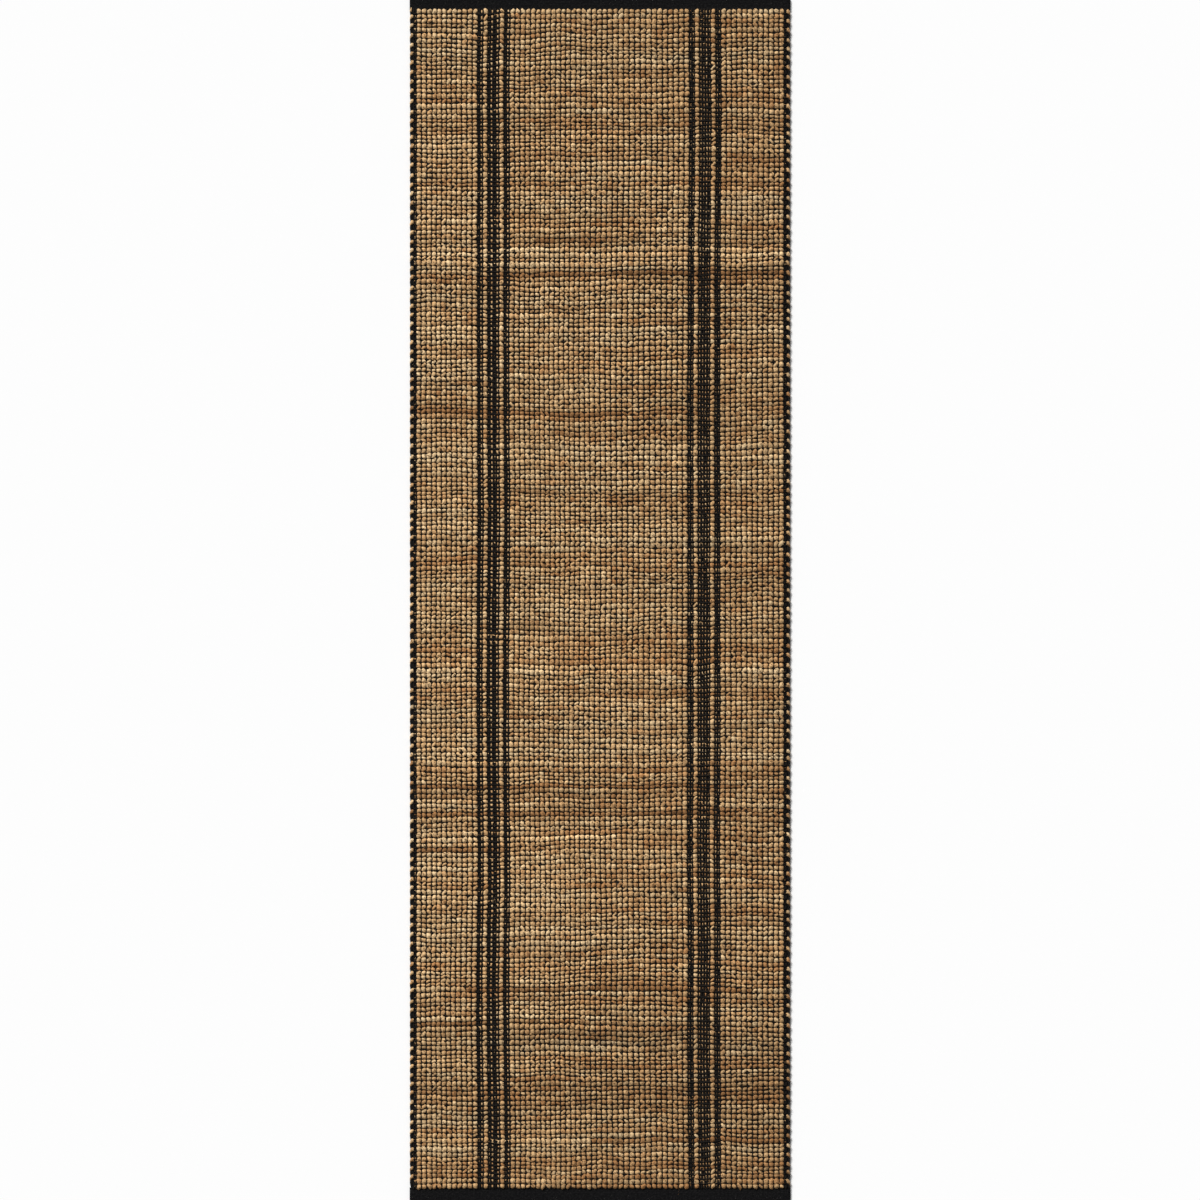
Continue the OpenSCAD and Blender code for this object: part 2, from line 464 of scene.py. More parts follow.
    def draw_rows(self) -> Array:
        """Draw how high each row lies at each warp line, as (rows, lines) of Y.

        Rows lie one on the other, so their thickness adds up, less its slow drift. The whole
        cloth sways in slow waves, which die out towards both ends, and drops at the left
        corner of the foot.
        """
        excess = at_lines(smoothed(self.bulk, self.settled_cells, axis=1)) - 1.0
        drift = (np.cumsum(excess, axis=0) - excess / 2.0) * self.pitch
        drift -= smoothed(drift, self.settled_rows, axis=0)
        number = np.arange(self.rows)[:, None]
        settle = self.settle_rows
        foot = drift[:1] - excess[:1] * self.pitch / 2.0 - self.end_gap
        head = drift[-1:] + excess[-1:] * self.pitch / 2.0 + self.end_gap
        drift -= foot * np.exp(-number / settle) + head * np.exp((number - self.rows + 1) / settle)
        shape = (self.rows, len(self.line_at))
        fade = np.clip(np.minimum(number, number[::-1]) / self.sway_fade_rows, 0.0, 1.0)
        sway = self.sway * uneven(self.rng, shape, self.sway_reach) * fade
        from_corner = (self.line_at - self.line_at[0]) / self.corner_width
        drop = np.exp(-number / self.corner_rows) * np.exp(-from_corner)
        return self.row_at[:, None] + drift + sway - self.corner_drop * drop

    def at_stations(self, lines: Array) -> Array:
        """Read values that are known at the lines, at every station, straight between lines."""
        after = np.minimum(self.station_line + 1, lines.shape[1] - 1)
        step = lines[:, after] - lines[:, self.station_line]
        return lines[:, self.station_line] + self.station_part * step

    def in_cells(self, cells: Array) -> Array:
        """Read values that are known in the cells, at every station, evened at the lines."""
        inside = cells[:, np.minimum(self.station_line, cells.shape[1] - 1)]
        return np.where(self.station_part > 0.0, inside, at_lines(cells)[:, self.station_line])

    def valley_y(self) -> Array:
        """Work out the valleys between neighbouring rows, as (rows - 1, lines) of Y."""
        return middles(self.row_y)


# ------------------------------------------------------------------------- finishes


class Bench:
    """A hand for wiring shader nodes in one tree."""

    def __init__(self, tree: bpy.types.NodeTree) -> None:
        """Take the tree to work on."""
        self.tree = tree

    def join(self, value: Input, socket: bpy.types.NodeSocket) -> None:
        """Link a socket to an input, or set the input to a value."""
        if isinstance(value, bpy.types.NodeSocket):
            self.tree.links.new(value, socket)
        else:
            socket.default_value = value

    def add(self, kind: str, inputs: dict | None = None, **settings: object) -> bpy.types.Node:
        """Add a node.

        Args:
            kind: The node's type.
            inputs: Values or sockets by input name or number.
            settings: Properties of the node.

        Returns:
            The node.
        """
        node = self.tree.nodes.new(kind)
        for key, value in settings.items():
            setattr(node, key, value)
        for key, value in (inputs or {}).items():
            self.join(value, node.inputs[key])
        return node

    def maths(self, operation: str, *values: Input) -> bpy.types.NodeSocket:
        """Add a Math node on up to three values or sockets, and give its result."""
        return self.add("ShaderNodeMath", dict(enumerate(values)), operation=operation).outputs[0]

    def plus(self, base: Input, share: Input, value: Input) -> bpy.types.NodeSocket:
        """Work out base + share * value."""
        return self.maths("MULTIPLY_ADD", value, share, base)

    def from_middle(self, noise: bpy.types.NodeSocket) -> bpy.types.NodeSocket:
        """Take one half from a noise, so that its middle is nought."""
        return self.maths("SUBTRACT", noise, 0.5)

    def blend(self, share: Input, first: Input, second: Input) -> bpy.types.NodeSocket:
        """Add a colour Mix node, and give its result."""
        inputs = {0: share, 6: first, 7: second}
        return self.add("ShaderNodeMix", inputs, data_type="RGBA").outputs[2]

    def ramp(self, value: Input, low: float, high: float) -> bpy.types.NodeSocket:
        """Add a clamped Map Range from low..high to 0..1, and give its result."""
        return self.add("ShaderNodeMapRange", {0: value, 1: low, 2: high}).outputs[0]

    def stretched(self, vector: Input, factors: Vector) -> bpy.types.NodeSocket:
        """Multiply a vector by one factor along each axis."""
        inputs = {0: vector, 1: factors}
        return self.add("ShaderNodeVectorMath", inputs, operation="MULTIPLY").outputs[0]

    def noise(
        self, vector: Input, scale: Input, detail: float = 2.0, **more: Input
    ) -> bpy.types.NodeSocket:
        """Add a Noise Texture node, with more of its inputs by name, and give its value."""
        inputs = {"Vector": vector, "Scale": scale, "Detail": detail, **more}
        return self.add("ShaderNodeTexNoise", inputs).outputs["Fac"]

    def relief(
        self, height: Input, distance: float, strength: float, **more: Input
    ) -> bpy.types.NodeSocket:
        """Add a Bump node, with more of its inputs by name, and give its normal."""
        inputs = {"Height": height, "Distance": distance, "Strength": strength, **more}
        return self.add("ShaderNodeBump", inputs).outputs[0]

    def place(self) -> bpy.types.NodeSocket:
        """Give the place on the object, in metres."""
        return self.add("ShaderNodeTexCoord").outputs["Object"]

    def mark(self, name: str) -> bpy.types.NodeSocket:
        """Give one of the marks that the skin's points carry."""
        return self.add("ShaderNodeAttribute", attribute_name=name).outputs["Fac"]

    def use(self, group: bpy.types.NodeTree, inputs: dict) -> bpy.types.NodeOutputs:
        """Add a node group, and give its outputs."""
        return self.add("ShaderNodeGroup", inputs, node_tree=group).outputs

    def fibres(self, group: bpy.types.NodeTree, lay: float, fineness: float) -> bpy.types.NodeOutputs:
        """Lay the group of spun fibres along the yarn's map, and give its outputs."""
        yarn = self.add("ShaderNodeUVMap", uv_map=YARN_MAP).outputs["UV"]
        return self.use(group, {"Map": yarn, "Lay": lay, "Fineness": fineness})


def new_group(
    name: str, ins: dict[str, tuple[str, float]], outs: tuple[str, ...]
) -> tuple[bpy.types.NodeTree, Bench, bpy.types.NodeOutputs, bpy.types.Node]:
    """Start a shader node group with named sockets.

    Args:
        name: The group's name.
        ins: Socket kind and resting value of each input; a vector's value isn't used.
        outs: The names of the outputs, which are all numbers.

    Returns:
        The group, its bench, its input sockets and its output node.
    """
    group = bpy.data.node_groups.new(name, "ShaderNodeTree")
    for title, (kind, value) in ins.items():
        socket = group.interface.new_socket(title, in_out="INPUT", socket_type=kind)
        if kind == NUMBER:
            socket.default_value = value
    for title in outs:
        group.interface.new_socket(title, in_out="OUTPUT", socket_type=NUMBER)
    bench = Bench(group)
    return group, bench, bench.add("NodeGroupInput").outputs, bench.add("NodeGroupOutput")


def strand_group() -> bpy.types.NodeTree:
    """Build the group that lays spun fibres along a yarn.

    The yarn's map is turned by the lay of the twist, squeezed across the fibres and drawn
    out along them, and noise on it gives the fibres. Coarser noise gives the locks that the
    fibres lie in.

    Returns:
        A group from a map in metres to the fibres' height and the locks' value.
    """
    ins = {"Map": (VECTOR, 0.0), "Lay": (NUMBER, 0.5), "Fineness": (NUMBER, 1000.0)}
    group, bench, given, result = new_group("spun_fibres", ins, ("Height", "Locks"))
    turn = {"Vector": given["Map"], "Angle": given["Lay"]}
    turned = bench.add("ShaderNodeVectorRotate", turn, rotation_type="Z_AXIS").outputs[0]
    for outlet, stretch, detail in (("Height", FIBRE_STRETCH, 2.0), ("Locks", LOCK_STRETCH, 3.0)):
        drawn = bench.stretched(turned, stretch)
        value = bench.noise(drawn, given["Fineness"], detail, Roughness=0.6)
        bench.join(value, result.inputs[outlet])
    return group


def lint_group() -> bpy.types.NodeTree:
    """Build the group that scatters short pale hairs and specks of lint.

    Noise on squeezed coordinates is cut off near its top, which leaves short streaks.

    Returns:
        A group from a position in metres to a mask.
    """
    ins = {"Position": (VECTOR, 0.0), "Amount": (NUMBER, 0.1)}
    group, bench, given, result = new_group("lint", ins, ("Mask",))
    noise = bench.noise(bench.stretched(given["Position"], LINT_STRETCH), 1.0, Distortion=1.2)
    least = bench.maths("SUBTRACT", LINT_TOP, given["Amount"])
    above = bench.maths("SUBTRACT", noise, least)
    bench.join(bench.ramp(above, 0.0, LINT_EDGE), result.inputs["Mask"])
    return group


def new_material(name: str) -> tuple[bpy.types.Material, Bench, bpy.types.Node]:
    """Start a material, and give it with its bench and its Principled shader."""
    look = bpy.data.materials.new(name)
    look.use_nodes = True
    return look, Bench(look.node_tree), look.node_tree.nodes["Principled BSDF"]


def dress(bench: Bench, shader: bpy.types.Node, results: dict[str, Input]) -> None:
    """Join each result to the shader's input of that name, or set the input to it."""
    for name, value in results.items():
        bench.join(value, shader.inputs[name])


def solid(colour: Colour) -> tuple[float, float, float, float]:
    """Give a colour with full cover."""
    return (*colour, 1.0)


@dataclass(frozen=True)
class JuteFinish:
    """Natural two-ply jute, from pale cream through golden tan to brown."""

    fibres: bpy.types.NodeTree
    pale: Colour = (0.645, 0.465, 0.26)
    golden: Colour = (0.53, 0.33, 0.155)
    brown: Colour = (0.37, 0.182, 0.07)
    # Painted shade: the dark colour that the clefts between the lumps and plies are darkened towards.
    painted_shade: Colour = (0.10, 0.048, 0.018)
    lay: float = 0.55
    fineness: float = 2600.0
    blotch_scale: float = 210.0
    lump_scale: float = 300.0
    shade_share: float = 0.11
    ripe_share: float = 0.21
    patch_share: float = 0.9
    lock_share: float = 0.7
    ply_share: float = 0.09
    # These four set the painted shade in the clefts: the locks' part, where it starts, where it is
    # full and how strong it is.
    painted_shade_locks: float = 0.6
    painted_shade_from: float = 0.46
    painted_shade_full: float = 0.27
    painted_shade_share: float = 0.85
    roughness: float = 0.86
    gloss: float = 0.1
    relief: float = 0.35 * MM
    lump_relief: float = 1.7 * MM

    def build(self) -> bpy.types.Material:
        """Make the material: ramp by ripeness and locks in the colour, painted shade in the clefts,
        fibres in relief.
        """
        look, bench, shader = new_material("natural_jute")
        place = bench.place()
        fibres = bench.fibres(self.fibres, self.lay, self.fineness)
        locks = bench.from_middle(fibres["Locks"])
        patch = bench.from_middle(bench.noise(place, self.blotch_scale, 3.0, Roughness=0.62))
        ripeness = bench.plus(0.5, self.ripe_share, bench.mark("ripe"))
        ripeness = bench.plus(ripeness, self.patch_share, patch)
        ramp = bench.add("ShaderNodeValToRGB", {0: ripeness})
        ramp.color_ramp.elements[0].color = solid(self.pale)
        ramp.color_ramp.elements[1].color = solid(self.brown)
        ramp.color_ramp.elements.new(0.5).color = solid(self.golden)
        light = bench.plus(1.0, self.shade_share, bench.mark("shade"))
        light = bench.plus(light, self.lock_share, locks)
        lighting = {0: ramp.outputs["Color"], "Scale": light}
        lit = bench.add("ShaderNodeVectorMath", lighting, operation="SCALE").outputs[0]
        # Painted shade: where the lumps, the plies and the locks lie low, in the clefts where shade
        # falls, the colour is darkened towards the shade colour.
        lumps = bench.noise(place, self.lump_scale, Roughness=0.5)
        level = bench.plus(lumps, self.ply_share, bench.mark("ply"))
        painted_shade_mask = bench.ramp(bench.plus(level, self.painted_shade_locks, locks), self.painted_shade_from, self.painted_shade_full)
        painted_shade_amount = bench.maths("MULTIPLY", painted_shade_mask, self.painted_shade_share)
        coarse = bench.relief(level, self.lump_relief, 0.9)
        height = bench.plus(fibres["Height"], 1.6, fibres["Locks"])
        dress(bench, shader, {
            "Base Color": bench.blend(painted_shade_amount, lit, solid(self.painted_shade)),
            "Normal": bench.relief(height, self.relief, 0.8, Normal=coarse),
            "Roughness": bench.plus(self.roughness, 0.2, locks),
            "Specular IOR Level": self.gloss,
        })
        return look


@dataclass(frozen=True, kw_only=True)
class BlackFinish:
    """What the black looks share: black that is worn in places, with pale lint on it."""

    lint: bpy.types.NodeTree
    black: Colour
    worn: Colour
    lint_colour: Colour
    lint_amount: float
    gloss: float = 0.06

    def colour(self, bench: Bench, wear: bpy.types.NodeSocket) -> bpy.types.NodeSocket:
        """Blend the black with its worn colour by the wear, and lay lint on it."""
        lint = bench.use(self.lint, {"Position": bench.place(), "Amount": self.lint_amount})
        colour = bench.blend(wear, solid(self.black), solid(self.worn))
        return bench.blend(lint["Mask"], colour, solid(self.lint_colour))


@dataclass(frozen=True, kw_only=True)
class CottonFinish(BlackFinish):
    """Black spun cotton with a little pale lint."""

    fibres: bpy.types.NodeTree
    name: str = "black_cotton"
    black: Colour = (0.0062, 0.0052, 0.0046)
    worn: Colour = (0.020, 0.0175, 0.015)
    lint_colour: Colour = (0.12, 0.105, 0.085)
    lint_amount: float = 0.10
    lay: float = 0.7
    fineness: float = 2400.0
    roughness: float = 0.86
    relief: float = 0.25 * MM

    def build(self) -> bpy.types.Material:
        """Make the material: worn locks and lint in the colour, fibres in relief."""
        look, bench, shader = new_material(self.name)
        fibres = bench.fibres(self.fibres, self.lay, self.fineness)
        wear = bench.ramp(fibres["Locks"], 0.42, 0.78)
        dress(bench, shader, {
            "Base Color": self.colour(bench, wear),
            "Normal": bench.relief(fibres["Height"], self.relief, 0.7),
            "Roughness": bench.plus(self.roughness, 0.08, wear),
            "Specular IOR Level": self.gloss,
        })
        return look


@dataclass(frozen=True, kw_only=True)
class HemFinish(BlackFinish):
    """Closely woven black cotton cloth: fine ribs across the rug, crossed by finer yarns."""

    black: Colour = (0.0030, 0.0029, 0.0032)
    worn: Colour = (0.016, 0.0155, 0.016)
    lint_colour: Colour = (0.16, 0.15, 0.135)
    lint_amount: float = 0.12
    yarn_step: float = 1.15 * MM
    shake_scale: float = 260.0
    shake_x: float = 1.6
    shake_y: float = 1.1
    roughness: float = 0.82
    relief: float = 0.2 * MM

    def build(self) -> bpy.types.Material:
        """Make the material: crossed waves give the weave, and lint lies on it."""
        look, bench, shader = new_material("hem_cloth")
        parts = bench.add("ShaderNodeSeparateXYZ", {0: bench.place()}).outputs
        shake = bench.noise(bench.place(), self.shake_scale, 3.0)
        waves = []
        for axis, phase in (("X", self.shake_x), ("Y", self.shake_y)):
            angle = bench.maths("MULTIPLY", parts[axis], 2.0 * math.pi / self.yarn_step)
            waves.append(bench.maths("SINE", bench.plus(angle, phase, shake)))
        weave = bench.maths("MULTIPLY", *waves)
        wear = bench.ramp(bench.plus(shake, 0.22, weave), 0.40, 0.90)
        dress(bench, shader, {
            "Base Color": self.colour(bench, wear),
            "Normal": bench.relief(bench.plus(weave, 1.2, shake), self.relief, 0.6),
            "Roughness": bench.plus(self.roughness, 0.1, wear),
            "Specular IOR Level": self.gloss,
        })
        return look


# ------------------------------------------------------------------------ jute weft


@dataclass
class JuteWeft:
    """The jute yarn, one piece for each shuttle length.

    Rows run to the right when their number is even and to the left when it is odd, and the
    yarn turns round the black edge cord in between. Nothing lies past the rug's edge. A
    tone is a lightness and a ripeness, and the pairs for a turn's size are the least and what
    is added away from the edge.
    """

    loom: Loom
    around: int = 8
    square: float = 0.86
    cover: float = 0.975
    lobe: float = 0.10
    lobe_length: float = 9.5 * MM
    lumps: float = 0.065
    lean: float = 0.75 * MM
    stray: float = 0.32 * MM
    height_shake: float = 0.28 * MM
    turn_steps: int = 7
    turn_x: float = 375.4 * MM
    turn_reach: float = 3.4 * MM
    turn_rise: float = 2.2 * MM
    # How much darker and browner the jute gets towards the right-hand edge and the foot.
    darker_right: float = 0.75
    darker_foot: float = 1.0
    foot_from: float = -0.55
    foot_over: float = 0.35
    brown_share: float = 0.05
    brown_tone: tuple[float, float] = (-2.0, 2.6)
    pale_share: float = 0.045
    pale_tone: tuple[float, float] = (1.0, -0.8)
    tone_shares: tuple[float, float, float] = (0.5, 0.6, 0.7)
    tone_reaches: tuple[float, float, float] = (0.6, 5.0, 0.3)
    darkening_ripe: float = 0.4
    lump_mark: float = 3.0
    crest_reach: float = 0.17
    stray_reach: float = 0.4
    firmness: float = 0.82
    turn_limit: float = 82.0
    turn_z: float = 4.2 * MM
    turn_half_width: tuple[float, float] = (2.5 * MM, 1.5 * MM)
    turn_half_height: tuple[float, float] = (1.25 * MM, 0.35 * MM)
    climb_power: float = 0.3
    last_climb: float = 0.4
    seed: int = 23

    def build(self, look: bpy.types.Material) -> list[bpy.types.Object]:
        """Make every shuttle length and dress it.

        Args:
            look: The jute's material.

        Returns:
            The pieces, from the foot to the head.
        """
        rng = np.random.default_rng(self.seed)
        skin = [*self.rows(rng), *self.tones(rng)]
        count = self.loom.rows_per_length
        pieces = []
        for number in range(self.loom.lengths):
            pick = slice(number * count, (number + 1) * count)
            run, half_width, half_height, shade, ripe = [self.zigzag(values, pick) for values in skin]
            steps = np.linalg.norm(np.diff(run, axis=1), axis=-1)
            along = np.concatenate([np.zeros((1, 1)), np.cumsum(steps, axis=1)], axis=1)
            plies = 2.0 * np.pi * along / self.lobe_length
            lumps = self.lumps * rng.standard_normal((*along.shape, self.around))
            section = (self.around, self.square, self.lobe, plies, lumps)
            rings = tube(run, half_width, half_height, ALONG, *section)
            rings[..., 2] = np.maximum(rings[..., 2], 0.0)
            angle = np.arange(self.around) * 2.0 * np.pi / self.around
            # The ply mark follows the skin's own swell, and the jute's material paints shade where it
            # is low.
            ply = np.cos(2.0 * angle - plies[..., None]) + self.lump_mark * lumps
            marks = {"shade": shade, "ripe": ripe, "ply": ply}
            piece = closed_strands(f"jute_length_{number + 1}", rings, marks)
            install(piece, f"jute_weft_{number + 1}", look)
            pieces.append(piece)
        return pieces

    def rows(self, rng: np.random.Generator) -> tuple[Array, Array, Array]:
        """Lay every row and the turn after it.

        Args:
            rng: The source of chance.

        Returns:
            The path as (rows, stations, 3), and half the yarn's width and height there. Rows
            are given from left to right, then the stations of their turn.
        """
        loom = self.loom
        bulk = loom.in_cells(loom.bulk)
        shape = (loom.rows, len(loom.speck))
        lean = self.lean * loom.in_cells(uneven(rng, shape, (0.0, 0.0)))
        shake = self.height_shake * loom.in_cells(uneven(rng, shape, (0.0, 0.0)))
        stray = self.stray * loom.in_cells(uneven(rng, shape, (0.0, self.stray_reach)))
        from_crest = np.clip((loom.station_part - 0.5) / self.crest_reach, -1.0, 1.0)
        from_crest = np.where(loom.station_part > 0.0, from_crest, 0.0)
        x = loom.at_stations(loom.line_x)
        y = loom.at_stations(loom.row_y) + lean * from_crest + stray
        z = loom.station_rise + shake * (loom.station_breadth == Place.CREST.value[1])
        wide = 0.5 * loom.pitch * self.cover * bulk * loom.station_breadth
        tall = loom.station_half_height * (self.firmness + (1.0 - self.firmness) * bulk)
        path = np.stack([x, y, np.broadcast_to(z, x.shape)], axis=-1)
        parts = zip((path, wide, tall), self.turns())
        return tuple(np.concatenate(row_and_turn, axis=1) for row_and_turn in parts)

    def turns(self) -> tuple[Array, Array, Array]:
        """Lay the turn that follows each row, round the black edge cord.

        The turn is half an ellipse in height, from under the cord to over it, and climbs to
        the next row as it goes: the height's sine also gives the share of the climb. It is
        narrow where it rounds the edge and broad where it comes over the top.

        Returns:
            Path, half width and half thickness, as (rows, turn steps, ...).
        """
        loom = self.loom
        angle = np.radians(np.linspace(-self.turn_limit, self.turn_limit, self.turn_steps))
        number, edge = np.arange(loom.rows), self.turn_edge()
        hand = np.where(edge == 0, -1.0, 1.0)[:, None]
        here = loom.row_y[number, edge][:, None]
        beyond = loom.row_y[-1:] + self.last_climb * loom.pitch
        there = np.append(loom.row_y[1:], beyond, axis=0)[number, edge][:, None]
        climb = 0.5 + 0.5 * np.sin(angle) * np.abs(np.sin(angle)) ** self.climb_power
        x = hand * (self.turn_x + self.turn_reach * np.cos(angle))
        y = here + (there - here) * climb
        z = self.turn_z + self.turn_rise * np.sin(angle)
        path = np.stack(np.broadcast_arrays(x, y, z), axis=-1)
        wide = self.turn_half_width[0] + self.turn_half_width[1] * np.clip(np.sin(angle), 0.0, 1.0)
        tall = self.turn_half_height[0] + self.turn_half_height[1] * np.abs(np.sin(angle))
        return path, np.broadcast_to(wide, y.shape), np.broadcast_to(tall, y.shape)

    def turn_edge(self) -> Array:
        """Give the line index where each row turns: the last when it runs right, else the first."""
        return np.where(np.arange(self.loom.rows) % 2 == 0, -1, 0)

    def tones(self, rng: np.random.Generator) -> tuple[Array, Array]:
        """Draw how light and how ripe the jute is, as (rows, stations) each.

        Both go up and down from row to row, along the yarn and from bead to bead. Some rows
        were wound from browner or paler bobbins, and the jute is a little darker and browner
        towards the right-hand edge and the foot.

        Args:
            rng: The source of chance.

        Returns:
            Lightness and ripeness, with a spread of about one.
        """
        loom = self.loom
        shape = (loom.rows, len(loom.speck))
        tones = []
        for _ in range(2):
            rows, stretches, beads = self.tone_reaches
            drawn = [uneven(rng, (loom.rows, 1), (rows, 0.0))]
            drawn += [uneven(rng, shape, (0.0, reach)) for reach in (stretches, beads)]
            tones.append(sum(share * part for share, part in zip(self.tone_shares, drawn)))
        shade, ripe = tones
        cell_x = middles(loom.line_at) / loom.line_at[-1]
        bobbins = ((self.brown_share, self.brown_tone), (self.pale_share, self.pale_tone))
        for share, (light, colour) in bobbins:
            wound = self.other_bobbin(rng, share, cell_x)
            shade += light * wound
            ripe += colour * wound
        near_foot = np.clip((self.foot_from - loom.row_at) / self.foot_over, 0.0, 1.0)[:, None]
        # The jute is darker and browner towards the right-hand edge and the foot.
        darkening = self.darker_right * cell_x + self.darker_foot * near_foot
        spread = []
        for tone in (shade - darkening, ripe + self.darkening_ripe * darkening):
            stations = loom.in_cells(tone)
            last = stations[np.arange(loom.rows), self.turn_edge()][:, None]
            turn = np.repeat(last, self.turn_steps, axis=1)
            spread.append(np.concatenate([stations, turn], axis=1))
        return spread[0], spread[1]

    def other_bobbin(self, rng: np.random.Generator, share: float, cell_x: Array) -> Array:
        """Draw the stretches of row that were wound from another bobbin.

        Args:
            rng: The source of chance.
            share: The share of rows that have such a stretch.
            cell_x: X of each cell, from -1 at the left edge to 1 at the right one.

        Returns:
            True inside the stretches, as (rows, cells). A stretch lies between two random
            places, which may be past the edges.
        """
        chosen = rng.random((self.loom.rows, 1)) < share
        ends = np.sort(rng.uniform(-2.0, 2.0, (self.loom.rows, 2)), axis=1)
        return chosen & (cell_x > ends[:, :1]) & (cell_x < ends[:, 1:])

    def zigzag(self, values: Array, pick: slice) -> Array:
        """Join some rows and their turns into one run of stations.

        Args:
            values: One value or vector for each station of each row.
            pick: The rows to join, which start with a row that runs to the right.

        Returns:
            The values in the yarn's order, as (1, stations, ...). The run goes on to the
            first station of the next row; the last row of all ends in its turn.
        """
        chosen = values[pick].copy()
        turn = self.turn_steps
        chosen[1::2, :-turn] = chosen[1::2, :-turn][:, ::-1]
        run = chosen.reshape(-1, *values.shape[2:])
        if pick.stop < len(values):
            run = np.concatenate([run, values[pick.stop, :1]])
        return run[None]


# ---------------------------------------------------------------------- black yarns


@dataclass
class BinderWeft:
    """The thin black picks, one flat tube in each valley between two jute rows."""

    loom: Loom
    around: int = 3
    half_width: float = 1.85 * MM
    band_extra: float = 0.75 * MM
    half_height: float = 0.62 * MM
    rise: float = 5.05 * MM

    def build(self, look: bpy.types.Material) -> bpy.types.Object:
        """Make the picks and dress them."""
        loom = self.loom
        x = middles(loom.line_x)
        path = np.stack(np.broadcast_arrays(x, loom.valley_y(), self.rise), axis=-1)
        in_band = np.append(loom.speck, False) | np.append(False, loom.speck)
        wide = np.broadcast_to(self.half_width + self.band_extra * in_band, x.shape)
        rings = tube(path, wide, self.half_height, ALONG, self.around)
        piece = closed_strands("binder_picks", rings)
        install(piece, "binder_weft", look)
        return piece


@dataclass
class BlackWarps:
    """The face and back warps of the fields and bands."""

    loom: Loom
    face_crest: float = 6.25 * MM
    face_valley: float = 3.75 * MM
    face_half_height: float = 0.6 * MM
    back_crest: float = 5.75 * MM
    back_valley: float = 0.62 * MM
    back_half_width: float = 1.5 * MM
    around: int = 4
    back_half_height: float = 0.5 * MM
    tuck: float = 3.2 * MM
    tuck_z: float = 2.6 * MM
    spread: float = 0.10
    seed: int = 31

    def build(self, look: bpy.types.Material) -> list[bpy.types.Object]:
        """Make the warps of each zone but the selvedges, and dress them."""
        pieces = []
        for number, zone in enumerate(self.loom.zones):
            if "selvedge" in zone.node:
                continue
            face = self.face_rings(number)
            back = self.back_rings(number)
            if zone.title == "centre":
                made = [(f"{zone.title}_face_warps", face), (f"{zone.title}_back_warps", back)]
            else:
                both = face if back is None else np.concatenate([face, back])
                made = [(f"{zone.title}_warps", both)]
            for name, rings in made:
                piece = closed_strands(name, rings)
                install(piece, zone.node, look)
                pieces.append(piece)
        return pieces

    def weave(self, x: Array, y: Array, valley_y: Array, heights: tuple[float, float]) -> Array:
        """Lay warps over rows and valleys by turns, with both ends tucked into the hems.

        Args:
            x: X at each row, as (rows, warps).
            y: Y at each row, as (rows, warps).
            valley_y: Y at each valley, as (rows - 1, warps).
            heights: Height of the warp at a row and at a valley.

        Returns:
            The paths, as (warps, stations, 3).
        """
        rows, warps = x.shape
        path = np.empty((2 * rows + 1, warps, 3))
        path[1::2] = np.stack(np.broadcast_arrays(x, y, heights[0]), axis=-1)
        path[2:-1:2] = np.stack(np.broadcast_arrays(middles(x), valley_y, heights[1]), axis=-1)
        path[[0, -1], :, 0] = x[[0, -1]]
        path[0, :, 1] = self.loom.foot_y - self.tuck
        path[-1, :, 1] = self.loom.head_y + self.tuck
        path[[0, -1], :, 2] = self.tuck_z
        return path.transpose(1, 0, 2)

    def face_rings(self, number: int) -> Array:
        """Work out the skin of one zone's face warps."""
        loom = self.loom
        mine = loom.zone_of_line == number
        places = [values[:, mine] for values in (loom.line_x, loom.row_y, loom.valley_y())]
        path = self.weave(*places, (self.face_crest, self.face_valley))
        rng = np.random.default_rng(self.seed + number)
        full = 1.0 + self.spread * uneven(rng, path.shape[:2], (0.0, 1.0))
        wide = loom.zones[number].half_width * full
        return tube(path, wide, self.face_half_height * full, ACROSS, self.around)

    def back_rings(self, number: int) -> Array | None:
        """Work out the skin of one zone's back warps, which run behind its beads."""
        loom = self.loom
        zone = loom.zones[number]
        first, last = loom.zone_of_line[:-1], loom.zone_of_line[1:]
        if zone.crowded:
            if "middle" not in zone.node:
                return None
            fields = [index for index, other in enumerate(loom.zones) if not other.crowded]
            beside = (first == number) | (last == number)
            mine = beside & ~loom.speck & ~np.isin(first, fields) & ~np.isin(last, fields)
        else:
            mine = (first == number) | (last == number)
        cells = np.flatnonzero(mine)
        x = (loom.line_x[:, cells] + loom.line_x[:, cells + 1]) / 2.0
        y = (loom.row_y[:, cells] + loom.row_y[:, cells + 1]) / 2.0
        path = self.weave(x, y, middles(y), (self.back_valley, self.back_crest))
        return tube(path, self.back_half_width, self.back_half_height, ACROSS, self.around)


